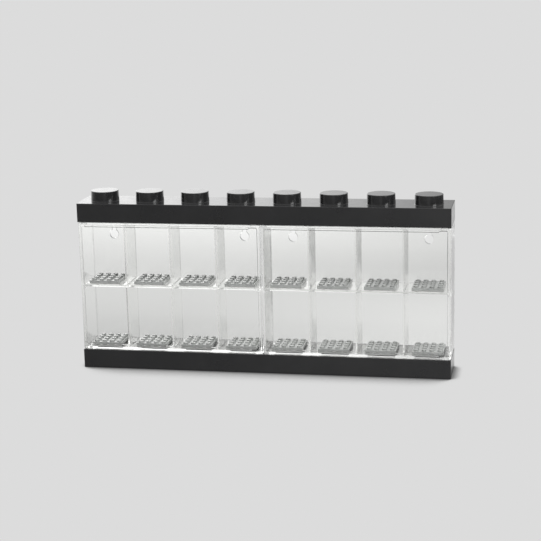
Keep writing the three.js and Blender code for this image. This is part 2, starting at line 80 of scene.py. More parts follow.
def softened(corners, radii, steps=4, closed=False):
    """A line with rounded corners. At a corner P, with unit directions a back and b ahead and
    half their angle h, the arc has its middle at P + (a + b) / |a + b| * r / sin(h) and starts
    and ends r / tan(h) from P. A corner with radius 0 stays a point."""
    p = np.asarray(corners, float)
    r = np.zeros(len(p))
    r[:] = radii
    if not closed:
        r[[0, -1]] = 0
    back = np.roll(p, 1, 0) - p
    ahead = np.roll(p, -1, 0) - p
    back /= np.linalg.norm(back, axis=1, keepdims=True)
    ahead /= np.linalg.norm(ahead, axis=1, keepdims=True)
    h = np.arccos(np.clip((back * ahead).sum(1), -1, 0.999)) / 2
    turn = np.maximum(math.pi - 2 * h, 1e-3)
    between = back + ahead
    between /= np.maximum(np.linalg.norm(between, axis=1, keepdims=True), 1e-9)
    middle = p + between * (r / np.sin(h))[:, None]
    reach = (r / np.tan(h))[:, None]
    s = np.linspace(0, 1, steps + 1)
    start = np.sin((1 - s) * turn[:, None]) / np.sin(turn)[:, None]
    end = np.sin(s * turn[:, None]) / np.sin(turn)[:, None]
    arcs = (
        middle[:, None]
        + start[..., None] * (p + back * reach - middle)[:, None]
        + end[..., None] * (p + ahead * reach - middle)[:, None]
    )
    arcs[r == 0] = p[r == 0][:, None]
    return arcs[(r[:, None] > 0) | (s == 0)]


def rectangles(low, high, insets, corner=OUTER_CORNER, steps=5):
    """Outlines of a rectangle moved in by each inset. Point j of a corner is the corner's
    middle plus its radius times (cos a, sin a) over a quarter turn of a, and the radius is
    the outer corner's less the inset."""
    low, high, insets = np.array(low, float), np.array(high, float), np.asarray(insets)
    radius = np.maximum(corner - insets, min(corner, LEAST_CORNER))[:, None, None]
    a = (np.arange(4)[:, None] - 1 + np.linspace(0, 1, steps + 1)) * math.pi / 2
    signs = np.repeat(np.array([[1, -1], [1, 1], [-1, 1], [-1, -1]]), steps + 1, axis=0)
    half = (high - low) / 2 - insets[:, None, None]
    round_part = np.stack([np.cos(a), np.sin(a)], -1).reshape(-1, 2)
    return (low + high) / 2 + signs * (half - radius) + radius * round_part


def circles(radii, sides=64):
    """Outlines of a round piece about the origin: each radius times (cos a, sin a)."""
    a = np.arange(sides) * 2 * math.pi / sides
    return np.asarray(radii)[:, None, None] * np.stack([np.cos(a), np.sin(a)], -1)


def stacked(outlines, levels, axis="z"):
    """Closed surface through a stack of outlines. Point (i, j) of its grid is point j of
    outline i, at level i along the axis. The first and last outline are closed by flat faces."""
    rows, count = outlines.shape[:2]
    height = np.broadcast_to(np.asarray(levels, float)[:, None, None], (rows, count, 1))
    u, v, w = np.concatenate([outlines, height], 2).reshape(-1, 3).T
    points = np.stack({"z": (u, v, w), "y": (u, -w, v), "x": (w, u, v)}[axis], 1)
    i = np.arange(rows - 1)[:, None] * count
    j = np.arange(count)
    k = np.roll(j, -1)
    quads = np.stack([i + j, i + k, i + count + k, i + count + j], -1).reshape(-1, 4)
    ends = np.stack([j[::-1], j + (rows - 1) * count])
    return points, [quads, ends]


def repeated(shape, places):
    """The same surface at each place, as one mesh."""
    points, faces = shape
    shift = np.arange(len(places))[:, None, None] * len(points)
    moved = (np.asarray(places)[:, None] + points).reshape(-1, 3)
    return moved, [(f[None] + shift).reshape(-1, f.shape[1]) for f in faces]


def block(low, high, edge=0.3, corner=0.5, axis="z", steps=3):
    """Block with rounded edges: rectangles stacked while inset and level follow a quarter
    circle at both ends."""
    order = {"z": (0, 1, 2), "y": (0, 2, 1), "x": (1, 2, 0)}[axis]
    (u0, u1), (v0, v1), (w0, w1) = [(low[n], high[n]) for n in order]
    if axis == "y":
        w0, w1 = -w1, -w0
    line = softened([[2 * edge, w0], [0, w0], [0, w1], [2 * edge, w1]], edge, steps)
    return stacked(rectangles((u0, v0), (u1, v1), line[:, 0], corner, steps), line[:, 1], axis)


def made(name, shape):
    """A Blender object from a surface, with its place in its mesh, in metres."""
    points, faces = shape
    mesh = bpy.data.meshes.new(name)
    mesh.from_pydata(points * MM, [], [face for group in faces for face in group.tolist()])
    mesh.update()
    thing = bpy.data.objects.new(name, mesh)
    scene.collection.objects.link(thing)
    return thing


def worked(piece, *jobs):
    """The piece as one closed surface after each (operation, surface) in turn."""
    tools = []
    for operation, shape in jobs:
        tools.append(made("tool", shape))
        step = piece.modifiers.new(operation, "BOOLEAN")
        step.operation = operation
        step.solver = "MANIFOLD"
        step.object = tools[-1]
    depsgraph = bpy.context.evaluated_depsgraph_get()
    before = piece.data
    after = bpy.data.meshes.new_from_object(piece.evaluated_get(depsgraph))
    piece.modifiers.clear()
    piece.data = after
    after.name = piece.name
    bpy.data.meshes.remove(before)
    for tool in tools:
        bpy.data.meshes.remove(tool.data)
    return piece


def finished(piece, finish, sharp=40):
    """Smooth shading that stays flat on flat faces and breaks at sharp corners."""
    mesh = piece.data
    mesh.polygons.foreach_set("use_smooth", np.ones(len(mesh.polygons), bool))
    mesh.set_sharp_from_angle(angle=math.radians(sharp))
    mesh.materials.clear()
    mesh.materials.append(finish)
    even = piece.modifiers.new("even shading", "WEIGHTED_NORMAL")
    even.keep_sharp = True
    even.weight = 100
    return piece


def pin_bosses(low, high):
    """The jobs that add a block about each door pin's hole, kept inside the outer wall."""
    return [
        (
            "UNION",
            block(
                (max(x - BOSS_HALF, WALL / 2 - HALF_WIDTH), y - BOSS_FRONT, low),
                (x + BOSS_HALF, y + BOSS_HALF, high),
            ),
        )
        for x, y, _ in PIN_PLACES
    ]


def node(tree, kind, inputs=None, **settings):
    """A shader node with its inputs set to numbers or linked to other nodes' outputs."""
    new = tree.nodes.new(kind)
    for name, value in settings.items():
        setattr(new, name, value)
    for name, value in (inputs or {}).items():
        if isinstance(value, bpy.types.NodeSocket):
            tree.links.new(value, new.inputs[name])
        else:
            new.inputs[name].default_value = value
    return new


def ramp(tree, factor, low, high):
    """Colour between low and high as the factor goes from 0.3 to 0.7."""
    new = node(tree, "ShaderNodeValToRGB", {"Fac": factor})
    for element, place, colour in zip(new.color_ramp.elements, (0.3, 0.7), (low, high)):
        element.position = place
        element.color = (*colour, 1)
    return new.outputs["Color"]


def spread(tree, factor, low, high, start=0.3, end=0.7):
    """A number between low and high as the factor goes from start to end."""
    limits = {"Value": factor, "From Min": start, "From Max": end, "To Min": low, "To Max": high}
    return node(tree, "ShaderNodeMapRange", limits).outputs["Result"]


def noise(tree, place, scale, detail=3.0):
    """Noise on object coordinates, with scale patches to the metre."""
    inputs = {"Vector": place, "Scale": scale, "Detail": detail}
    return node(tree, "ShaderNodeTexNoise", inputs).outputs["Fac"]


black = bpy.data.materials.new("gloss_black_plastic")
black.use_nodes = True
tree = black.node_tree
shader = tree.nodes["Principled BSDF"]
place = node(tree, "ShaderNodeTexCoord").outputs["Object"]
tree.links.new(
    ramp(tree, noise(tree, place, 30), (0.013, 0.013, 0.0135), (0.017, 0.017, 0.0175)),
    shader.inputs["Base Color"],
)
tree.links.new(spread(tree, noise(tree, place, 140, 5), 0.12, 0.2), shader.inputs["Roughness"])
peel = node(
    tree,
    "ShaderNodeBump",
    {"Height": noise(tree, place, 700, 2), "Strength": 0.25, "Distance": 0.00002},
)
tree.links.new(peel.outputs["Normal"], shader.inputs["Normal"])
shader.inputs["IOR"].default_value = 1.5

line = softened(
    [[6, BASE_DECK], [WALL, BASE_DECK], [WALL, 0], [0, 0], [0, BASE_TOP], [2, BASE_TOP]],
    [0, 0.5, 0.4, EDGE, EDGE, 0],
)
case_low, case_high = (-HALF_WIDTH, -HALF_DEPTH), (HALF_WIDTH, HALF_DEPTH)
base = made("black_base", stacked(rectangles(case_low, case_high, line[:, 0]), line[:, 1]))
tube = softened(
    [
        [4, BASE_DECK],
        [POST_BORE, BASE_DECK],
        [POST_BORE, 0],
        [POST_RADIUS, 0],
        [POST_RADIUS, RIB_HIGH],
    ],
    [0, 0.4, 0.3, 0.4, 0],
    3,
)
back_ribs = block((-RIB_HALF, RIB_REACH, RIB_LOW), (RIB_HALF, RIB_OUT_DEEP, RIB_HIGH))
front_ribs = block((-RIB_HALF, -RIB_OUT_DEEP, RIB_LOW), (RIB_HALF, -RIB_REACH, RIB_HIGH))
end_reach = COLUMNS[-1, 0] + RIB_REACH
end_rib = block((end_reach, -RIB_HALF, RIB_LOW), (RIB_OUT_WIDE, RIB_HALF, RIB_HIGH))
other_end_rib = block((-RIB_OUT_WIDE, -RIB_HALF, RIB_LOW), (-end_reach, RIB_HALF, RIB_HIGH))
hole = stacked(circles([PIN_HOLE] * 2, 32), [PIN_HOLE_END, BASE_TOP + OVERRUN])
peg_hole = stacked(circles([PEG_HOLE] * 2, 40), [BASE_DECK - OVERRUN, BASE_TOP + OVERRUN])
worked(
    base,
    ("UNION", repeated(stacked(circles(tube[:, 0]), tube[:, 1]), BOUNDARIES)),
    ("UNION", repeated(back_ribs, COLUMNS)),
    ("UNION", repeated(front_ribs, COLUMNS)),
    ("UNION", end_rib),
    ("UNION", other_end_rib),
    *pin_bosses(13.2, RIB_HIGH),
    ("DIFFERENCE", repeated(hole, PIN_PLACES)),
    ("DIFFERENCE", repeated(peg_hole, PEG_PLACES)),
)
finished(base, black)
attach(base, "case")
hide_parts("base")

# The two cabinet shells: floor, ceiling, sides and back in one clear moulding, open in front.
# Polished clear plastic. Pegs above and below drop into the cap and the base, ledges carry the
# shelf, low bars hold the plates, and two keyholes in the back take the heads of wall screws.
SHELL_HALF = 95.35
WALL_FRONT = 2.35
SHELL_LOW, SHELL_HIGH = 19.8, 154.2
SHELL_FRONT, SHELL_BACK = -18.9, 23.5
FLOOR_TOP, CEILING = 22.3, 151.7
INNER_BACK = 21.0
SHELF_LOW, SHELF_HIGH = 85.75, 88.25
SHELF_FRONT, SHELF_BACK = -17.1, 20.7
PEG_RADIUS = 3.0
PEG_REACH = 4.0
SEAT_HEIGHT = 1.4
BAR_LONG, BAR_WIDE = 14.1, 2.1
STUD_ROW = np.array([-12.0, -4.0, 4.0, 12.0])
SEAT_ROOT = 21.05
LEDGE_LOW, LEDGE_HIGH = 83.85, 85.45
LEDGE_OUT, LEDGE_BACK = 94.1, 22.25
LEDGE_SIZE = 1.6
CATCH_X = 87.85
CATCH_HALF = 2.5
CATCH_FRONT, CATCH_BACK = -20.8, -17.65
GAP = 0.3
KEYHOLE_X = 70.0
KEYHOLE_Z = 133.5
KEYHOLE_HEAD, KEYHOLE_SHANK, KEYHOLE_RISE = 4.7, 2.3, 6.0
CABINET_COLUMNS = np.array([[(i - 1.5) * COLUMN, 0, 0] for i in range(4)])


def inset_rows(outline, insets):
    """The outline moved in by each inset: each point goes against the sum of its two edges'
    normals divided by one plus their product."""
    edge = np.roll(outline, -1, 0) - outline
    edge /= np.linalg.norm(edge, axis=1, keepdims=True)
    after = np.stack([edge[:, 1], -edge[:, 0]], 1)
    ahead = np.roll(after, 1, 0)
    mitre = (ahead + after) / (1 + (ahead * after).sum(1))[:, None]
    return outline - np.asarray(insets)[:, None, None] * mitre


def rims(faces, edge, steps=3):
    """(inset, level) line of a hole's wall between two faces, with a rounded rim at both:
    inset r (sin t - 1) and level r (1 - cos t) in from the face over a quarter turn of t."""
    t = np.linspace(0, math.pi / 2, steps + 1)
    inset, depth = edge * (np.sin(t) - 1), edge * (1 - np.cos(t))
    lower = np.stack([inset, faces[0] + depth], 1)
    upper = np.stack([inset, faces[1] - depth], 1)[::-1]
    return np.concatenate(
        [[[-edge, faces[0] - OVERRUN]], lower, upper, [[-edge, faces[1] + OVERRUN]]]
    )


clear = bpy.data.materials.new("clear_plastic")
clear.use_nodes = True
tree = clear.node_tree
shader = tree.nodes["Principled BSDF"]
place = node(tree, "ShaderNodeTexCoord").outputs["Object"]
shader.inputs["Base Color"].default_value = (0.985, 0.988, 0.98, 1)
shader.inputs["Transmission Weight"].default_value = 1
shader.inputs["IOR"].default_value = 1.52
tree.links.new(spread(tree, noise(tree, place, 60, 4), 0.0, 0.03), shader.inputs["Roughness"])
flow = node(
    tree,
    "ShaderNodeBump",
    {"Height": noise(tree, place, 22, 1), "Strength": 0.5, "Distance": 0.0001},
)
tree.links.new(flow.outputs["Normal"], shader.inputs["Normal"])
path = node(tree, "ShaderNodeLightPath").outputs
let_by = node(tree, "ShaderNodeBsdfTransparent", {"Color": (0.93, 0.935, 0.925, 1)})
either = node(tree, "ShaderNodeMath", operation="MAXIMUM")
tree.links.new(path["Is Shadow Ray"], either.inputs[0])
tree.links.new(path["Is Diffuse Ray"], either.inputs[1])
choice = node(tree, "ShaderNodeMixShader", {"Fac": either.outputs[0]})
tree.links.new(shader.outputs[0], choice.inputs[1])
tree.links.new(let_by.outputs[0], choice.inputs[2])
tree.links.new(choice.outputs[0], tree.nodes["Material Output"].inputs["Surface"])

line = softened(
    [
        [6, -SHELL_BACK],
        [0, -SHELL_BACK],
        [0, -SHELL_FRONT],
        [WALL_FRONT, -SHELL_FRONT],
        [WALL, -INNER_BACK],
        [6, -INNER_BACK],
    ],
    [0, 0.6, 0.35, 0.35, 0.8, 0],
)
tray = stacked(
    rectangles((-SHELL_HALF, SHELL_LOW), (SHELL_HALF, SHELL_HIGH), line[:, 0], 1.0), line[:, 1], "y"
)
inside = SHELL_HALF - WALL
ledge = block(
    (inside - LEDGE_SIZE, SHELF_FRONT, LEDGE_LOW), (LEDGE_OUT, LEDGE_BACK, LEDGE_HIGH), 0.25, 0.3, "y"
)
other_ledge = block(
    (-LEDGE_OUT, SHELF_FRONT, LEDGE_LOW), (LEDGE_SIZE - inside, LEDGE_BACK, LEDGE_HIGH), 0.25, 0.3, "y"
)
tabs = [
    block(
        (CATCH_X - CATCH_HALF, CATCH_FRONT, low), (CATCH_X + CATCH_HALF, CATCH_BACK, high), 0.2, 0.4
    )
    for low, high in ((SHELL_LOW, FLOOR_TOP - GAP), (CEILING + GAP, SHELL_HIGH))
]
bar = block(
    (-BAR_LONG, -BAR_WIDE, SEAT_ROOT), (BAR_LONG, BAR_WIDE, FLOOR_TOP + SEAT_HEIGHT), 0.2, 0.4
)
bars = repeated(bar, [[x, y, 0] for x in CABINET_COLUMNS[:, 0] for y in STUD_ROW])
peg_end = SHELL_LOW - PEG_REACH
peg = softened([[2, peg_end], [PEG_RADIUS, peg_end], [PEG_RADIUS, SEAT_ROOT]], 0.4)
lower_pegs = stacked(circles(peg[:, 0], 40), peg[:, 1])
upper_pegs = stacked(circles(peg[::-1, 0], 40), SHELL_LOW + SHELL_HIGH - peg[::-1, 1])
both_sides = np.array([[-COLUMN, 0, 0], [COLUMN, 0, 0]])
meet = math.asin(KEYHOLE_SHANK / KEYHOLE_HEAD)
head = np.linspace(math.pi / 2 + meet, math.pi * 2.5 - meet, 40)
shank = np.linspace(0, math.pi, 16)
pear = np.concatenate(
    [
        KEYHOLE_HEAD * np.stack([np.cos(head), np.sin(head)], 1),
        [0, KEYHOLE_RISE] + KEYHOLE_SHANK * np.stack([np.cos(shank), np.sin(shank)], 1),
    ]
)
wall_line = rims((-SHELL_BACK, -INNER_BACK), 0.3)
keyholes = repeated(
    stacked(inset_rows(pear, wall_line[:, 0]), wall_line[:, 1], "y"),
    [[-KEYHOLE_X, 0, KEYHOLE_Z], [KEYHOLE_X, 0, KEYHOLE_Z]],
)
for side, middle in CABINETS.items():
    shell = worked(
        made(f"{side}_cabinet_shell", tray),
        ("UNION", ledge),
        ("UNION", other_ledge),
        *[("UNION", tab) for tab in tabs],
        ("UNION", bars),
        ("UNION", repeated(lower_pegs, both_sides)),
        ("UNION", repeated(upper_pegs, both_sides)),
        ("DIFFERENCE", keyholes),
    )
    shell.data.transform(Matrix.Translation((middle * MM, 0, 0)))
    finished(shell, clear)
    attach(shell, "case")
    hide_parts(f"{side}_shell")

# The shelves and dividers: flat clear boards that slot into each other like a bottle crate.
# The shelf is slotted from its back edge and lies on the shell's ledges; each divider is
# slotted from its front edge and slides over the shelf.
SHELF_HALF = 92.55
SLOT_HALF = 1.3
SLOT_START = 1.8
DIVIDER_HALF = 1.0
DIVIDER_SLOT_END = 2.1
DRAFT_FRONT = 0.75
KNOB = 2.1
KNOB_OUT = 12.0
KNOB_ROOT = 87


def board(corners, corner, faces, edge, axis):
    """Flat board: its outline with rounded corners, stacked from face to face while the
    inset follows a quarter circle at both."""
    low, high = faces
    line = softened([[2 * edge, low], [0, low], [0, high], [2 * edge, high]], edge, 3)[1:-1]
    return stacked(inset_rows(softened(corners, corner, 3, True), line[:, 0]), line[:, 1], axis)


notches = [
    [x + s * SLOT_HALF, y]
    for x in (COLUMN, 0, -COLUMN)
    for s, y in ((1, SHELF_BACK), (1, SLOT_START), (-1, SLOT_START), (-1, SHELF_BACK))
]
shelf_outline = [
    [-SHELF_HALF, SHELF_FRONT],
    [SHELF_HALF, SHELF_FRONT],
    [SHELF_HALF, SHELF_BACK],
    *notches,
    [-SHELF_HALF, SHELF_BACK],
]
knob_top = SHELF_HIGH + SEAT_HEIGHT
line = softened([[KNOB, KNOB_ROOT], [KNOB, knob_top], [1, knob_top]], 0.3, 3)
corners = [
    [x + i, j, 0]
    for x in CABINET_COLUMNS[:, 0]
    for i in (-KNOB_OUT, KNOB_OUT)
    for j in (-KNOB_OUT, KNOB_OUT)
]
shelf_knobs = repeated(stacked(circles(line[:, 0], 24), line[:, 1]), corners)
divider_outline = [
    [SHELF_FRONT, FLOOR_TOP + GAP],
    [SHELF_BACK, FLOOR_TOP + GAP],
    [SHELF_BACK, CEILING - GAP],
    [SHELF_FRONT, CEILING - GAP],
    [SHELF_FRONT, SHELF_HIGH + GAP],
    [DIVIDER_SLOT_END, SHELF_HIGH + GAP],
    [DIVIDER_SLOT_END, SHELF_LOW - GAP],
    [SHELF_FRONT, SHELF_LOW - GAP],
]
for side, middle in CABINETS.items():
    there = [[middle, 0, 0]]
    shelf_shape = board(shelf_outline, 0.35, (SHELF_LOW, SHELF_HIGH), 0.3, "z")
    shelf = made(f"{side}_clear_shelf", repeated(shelf_shape, there))
    worked(shelf, ("UNION", repeated(shelf_knobs, there)))
    finished(shelf, clear)
    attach(shelf, "case")
    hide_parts(f"{side}_shelf")
    for number in (1, 2, 3):
        points, faces = board(divider_outline, 0.35, (-DIVIDER_HALF, DIVIDER_HALF), 0.3, "x")
        depth = (points[:, 1] - SHELF_FRONT) / (SHELF_BACK - SHELF_FRONT)
        points[:, 0] *= DRAFT_FRONT + (1 - DRAFT_FRONT) * depth
        place = [[middle + (number - 2) * COLUMN, 0, 0]]
        divider = made(f"{side}_clear_divider_{number}", repeated((points, faces), place))
        finished(divider, clear)
        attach(divider, "case")
        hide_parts(f"{side}_divider_{number}")

# The plates: grey squares with four by four studs, on which the toy figures stand.
# Glossy grey plastic, moulded, with a hollow underside that drops over low clear bars on the
# floor, or over four round knobs on the shelf.
PLATE_HALF = 15.9
PLATE_TOP = 3.2
PLATE_HOLLOW = 2.2
PLATE_WALL = 1.5
PLATE_ROWS = {"lower": FLOOR_TOP + GAP, "upper": SHELF_HIGH + GAP}

grey = bpy.data.materials.new("gloss_grey_plastic")
grey.use_nodes = True
tree = grey.node_tree
shader = tree.nodes["Principled BSDF"]
place = node(tree, "ShaderNodeTexCoord").outputs["Object"]
tree.links.new(
    ramp(tree, noise(tree, place, 90), (0.33, 0.335, 0.335), (0.38, 0.385, 0.385)),
    shader.inputs["Base Color"],
)
tree.links.new(spread(tree, noise(tree, place, 300, 4), 0.1, 0.18), shader.inputs["Roughness"])
grain = node(
    tree,
    "ShaderNodeBump",
    {"Height": noise(tree, place, 1800, 2), "Strength": 0.3, "Distance": 0.00002},
)
tree.links.new(grain.outputs["Normal"], shader.inputs["Normal"])

line = softened(
    [
        [4, PLATE_HOLLOW],
        [PLATE_WALL, PLATE_HOLLOW],
        [PLATE_WALL, 0],
        [0, 0],
        [0, PLATE_TOP],
        [1, PLATE_TOP],
    ],
    [0, 0.2, 0.1, 0.15, 0.2, 0],
    2,
)
slab = stacked(
    rectangles((-PLATE_HALF, -PLATE_HALF), (PLATE_HALF, PLATE_HALF), line[:, 0], 0.4, 3), line[:, 1]
)
stud = stacked(circles([2.4, 2.4, 2.33, 2.15], 16), [2.7, 4.65, 4.83, 4.9])
grid = [[x, y, 0] for x in STUD_ROW for y in STUD_ROW]
studded = worked(made("studded_plate", slab), ("UNION", repeated(stud, grid)))
for side, middle in CABINETS.items():
    for row, height in PLATE_ROWS.items():
        for number, column in enumerate(CABINET_COLUMNS, 1):
            plate = bpy.data.objects.new(f"{side}_{row}_grey_plate_{number}", studded.data.copy())
            scene.collection.objects.link(plate)
            x = middle + column[0]
            plate.data.transform(Matrix.Translation((x * MM, 0, height * MM)))
            finished(plate, grey)
            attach(plate, "case")
            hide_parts(f"{side}_{row}_plate_{number}")
bpy.data.objects.remove(studded)

# The doors: a flat clear pane in a raised rim. Clear plastic, moulded with two pins on the
# left edge that turn in the base and the cap, lips that reach into the shell against dust,
# and pockets at the right that snap over the shell's tabs.
DOOR_HALF = 95.05
DOOR_FRONT, DOOR_BACK = -23.5, -19.2
DOOR_LOW, DOOR_HIGH = 20.0, 154.0
PANE_BACK = -21.3
RIM = 3.2
RECESS_CORNER = 1.6
LUG_RIGHT = -88.55
LUG_HEIGHT = 4.4
LIP_RIGHT = 83.35
LIP_BACK = -17.4
LIP_THICKNESS = 2.0
RIM_HOLD = 22.4
POCKET_HALF = 2.8
DOOR_MIDDLE_Z = (DOOR_LOW + DOOR_HIGH) / 2

line = softened([[1, DOOR_LOW], [0, DOOR_LOW], [0, DOOR_HIGH], [1, DOOR_HIGH]], 0.35)[1:-1]
plan = softened(
    [
        [-DOOR_HALF, DOOR_FRONT],
        [DOOR_HALF, DOOR_FRONT],
        [DOOR_HALF, DOOR_BACK],
        [-DOOR_HALF, DOOR_BACK],
    ],
    [2.149, 0.8, 0.8, 2.149],
    10,
    True,
)
slab = stacked(inset_rows(plan, line[:, 0]), line[:, 1])
t = np.linspace(0, math.pi / 2, 5)
recess_line = np.concatenate(
    [
        [[-0.35, -DOOR_BACK - OVERRUN]],
        np.stack([0.35 * (np.sin(t) - 1), -DOOR_BACK + 0.35 * (1 - np.cos(t))], 1),
        np.stack([0.5 * (1 - np.cos(t)), -PANE_BACK - 0.5 * (1 - np.sin(t))], 1),
        [[2.5, -PANE_BACK]],
    ]
)
recess = stacked(
    rectangles(
        (RIM - DOOR_HALF, DOOR_LOW + RIM),
        (DOOR_HALF - RIM, DOOR_HIGH - RIM),
        recess_line[:, 0],
        RECESS_CORNER,
    ),
    recess_line[:, 1],
    "y",
)
slope = LUG_HEIGHT - RIM
lug = np.array(
    [
        [PIN_X, RIM / 2],
        [LUG_RIGHT, RIM / 2],
        [LUG_RIGHT, RIM],
        [LUG_RIGHT - slope, LUG_HEIGHT],
        [PIN_X, LUG_HEIGHT],
    ]
)
lower_lug = board(lug + [0, DOOR_LOW], 0.3, (-DOOR_BACK, RIM_HOLD), 0.2, "y")
upper_lug = board((lug * [1, -1] + [0, DOOR_HIGH])[::-1], 0.3, (-DOOR_BACK, RIM_HOLD), 0.2, "y")
lips = [
    block(
        (LUG_RIGHT, -RIM_HOLD, low), (LIP_RIGHT, LIP_BACK, low + LIP_THICKNESS), 0.35, 0.4, "x"
    )
    for low in (FLOOR_TOP + GAP, CEILING - GAP - LIP_THICKNESS)
]
pockets = [
    block(
        (CATCH_X - POCKET_HALF, PANE_BACK, low),
        (CATCH_X + POCKET_HALF, DOOR_BACK + OVERRUN, high),
        0.2,
        0.4,
    )
    for low, high in ((DOOR_LOW - OVERRUN, FLOOR_TOP), (CEILING, DOOR_HIGH + OVERRUN))
]
pin = softened([[0.5, 16], [1, 16], [1, 21.6]], 0.25, 3)
lower_pin = stacked(circles(pin[:, 0], 24), pin[:, 1])
upper_pin = stacked(circles(pin[::-1, 0], 24), 2 * DOOR_MIDDLE_Z - pin[::-1, 1])
for side, middle in CABINETS.items():
    door = worked(
        made(f"{side}_clear_door", slab),
        ("DIFFERENCE", recess),
        *[("DIFFERENCE", pocket) for pocket in pockets],
        ("UNION", lower_lug),
        ("UNION", upper_lug),
        *[("UNION", lip) for lip in lips],
        ("UNION", repeated(lower_pin, [[PIN_X, PIN_Y, 0]])),
        ("UNION", repeated(upper_pin, [[PIN_X, PIN_Y, 0]])),
    )
    door.data.transform(Matrix.Translation((middle * MM, 0, 0)))
    finished(door, clear)
    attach(door, f"{side}_door")
    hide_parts(f"{side}_door")

# The cap: a black moulded lid, hollow below, with a row of eight round studs on top that
# another case's base can grip. The same gloss black plastic as the base, with sockets for the
# cabinets' pegs and bosses for the doors' upper pins. The studs' tops are plain.
CAP_LOW, CAP_TOP, STUD_TOP = 154.5, 173.9, 184.1
CAP_DECK = 171.4
STUD_FOOT, STUD_RIM = 14.5, 14.15
SOCKET_RADIUS = 5.1

line = softened(
    [[6, CAP_DECK], [WALL, CAP_DECK], [WALL, CAP_LOW], [0, CAP_LOW], [0, CAP_TOP], [2, CAP_TOP]],
    [0, 0.5, 0.4, EDGE, EDGE, 0],
)
cap = made("black_cap", stacked(rectangles(case_low, case_high, line[:, 0]), line[:, 1]))
rise = softened(
    [[STUD_FOOT + 1.0, CAP_TOP - 0.05], [STUD_FOOT, CAP_TOP], [STUD_RIM, STUD_TOP], [12, STUD_TOP]],
    [0, 0.35, 0.6, 0],
    5,
)
rise = np.concatenate([[[STUD_FOOT + 1.0, CAP_TOP - 1.2]], rise])
studs = repeated(stacked(circles(rise[:, 0], 96), rise[:, 1]), COLUMNS)
bores = repeated(stacked(circles([12.3, 11.95], 64), [CAP_DECK - OVERRUN, STUD_TOP - 2.2]), COLUMNS)
socket = repeated(stacked(circles([SOCKET_RADIUS] * 2, 40), [CAP_LOW + 0.2, 172.6]), PEG_PLACES)
socket_hole = repeated(stacked(circles([PEG_HOLE] * 2, 40), [CAP_LOW - OVERRUN, 158.5]), PEG_PLACES)
upper_hole = repeated(stacked(circles([PIN_HOLE] * 2, 32), [CAP_LOW - OVERRUN, 158.3]), PIN_PLACES)
worked(
    cap,
    ("UNION", studs),
    ("DIFFERENCE", bores),
    ("UNION", socket),
    *pin_bosses(CAP_LOW + 0.2, 160.8),
    ("DIFFERENCE", socket_hole),
    ("DIFFERENCE", upper_hole),
)
finished(cap, black)
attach(cap, "case")
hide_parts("cap")

# The floor: a wide sheet of matt pale paper, which runs on past the picture on every side.
# The camera sees it even and bright, and the clear plastic and the gloss see a studio backdrop that
# shades away from the case in listed levels: painted shade in its emission, not light that falls on
# it. Both keep a painted contact shadow.
rings = np.array([14, 14, 7, 3, 1, 0.3]) / MM
sheet = made("paper_floor", stacked(circles(rings, 96), [-100, 0, 0, 0, 0, 0]))

SURROUND_SEEN = 0.716
SWEEP_START, SWEEP_END = -0.8, 0.8
SWEEP_LEFT, SWEEP_RIGHT = -0.14, 0.15
# Painted shade: (depth, level) stops of the floor as the gloss and the clear plastic see it, darker in
# bands in front of and close to the case.
LEFT_SHADES = (
    (-0.75, 0.28), (-0.66, 0.24), (-0.6, 0.18), (-0.42, 0.3), (-0.32, 0.62),
    (-0.16, 0.62), (-0.11, 0.25), (0.0, 0.3), (0.05, 0.6), (0.3, 0.72),
    (0.46, 0.8), (0.6, 0.92), (0.7, 1.0),
)
RIGHT_SHADES = (
    (-0.75, 0.5), (-0.68, 0.46), (-0.6, 0.12), (-0.42, 0.15), (-0.32, 0.75),
    (-0.16, 0.8), (-0.11, 0.42), (0.0, 0.45), (0.05, 0.8), (0.3, 0.745),
    (0.46, 0.725), (0.6, 0.8), (0.7, 0.78),
)
# Painted contact shadows: (open share, level) stops that darken the floor's emission near the case.
CLOSE_SHADOW = ((0.44, 0.24), (0.53, 0.43), (0.63, 0.615), (0.72, 0.84), (0.81, 0.96), (0.87, 1.0))
WIDE_SHADOW = (
    (0.33, 0.45), (0.37, 0.55), (0.4, 0.66), (0.45, 0.83), (0.49, 0.93),
    (0.54, 0.97), (0.59, 0.99), (0.65, 1.0),
)


def product(tree, one, other):
    """The product of two numbers."""
    inputs = {0: one, 1: other}
    return node(tree, "ShaderNodeMath", inputs, operation="MULTIPLY").outputs[0]


def stepped(tree, factor, stops, start=0.0, end=1.0):
    """A level that runs in straight stretches through the (place, level) stops."""
    share = spread(tree, factor, 0, 1, start, end)
    level = node(tree, "ShaderNodeValToRGB", {"Fac": share})
    for stop, value in stops:
        element = level.color_ramp.elements.new((stop - start) / (end - start))
        element.color = (value, value, value, 1)
    level.color_ramp.elements.remove(level.color_ramp.elements[0])
    level.color_ramp.elements.remove(level.color_ramp.elements[-1])
    return level.outputs["Color"]


def painted_contact_shadow(tree, lean, distance, stops):
    """Painted shadow level for the floor's emission: the open share of a half sphere of the given
    size that leans over, taken through the stops from share to level."""
    towards = node(tree, "ShaderNodeCombineXYZ", {"X": lean[0], "Y": lean[1], "Z": 1.0}).outputs[0]
    middle = node(tree, "ShaderNodeVectorMath", {0: towards}, operation="NORMALIZE").outputs[0]
    share = node(
        tree,
        "ShaderNodeAmbientOcclusion",
        {"Distance": distance, "Normal": middle},
        samples=16,
    ).outputs["AO"]
    return stepped(tree, share, stops)


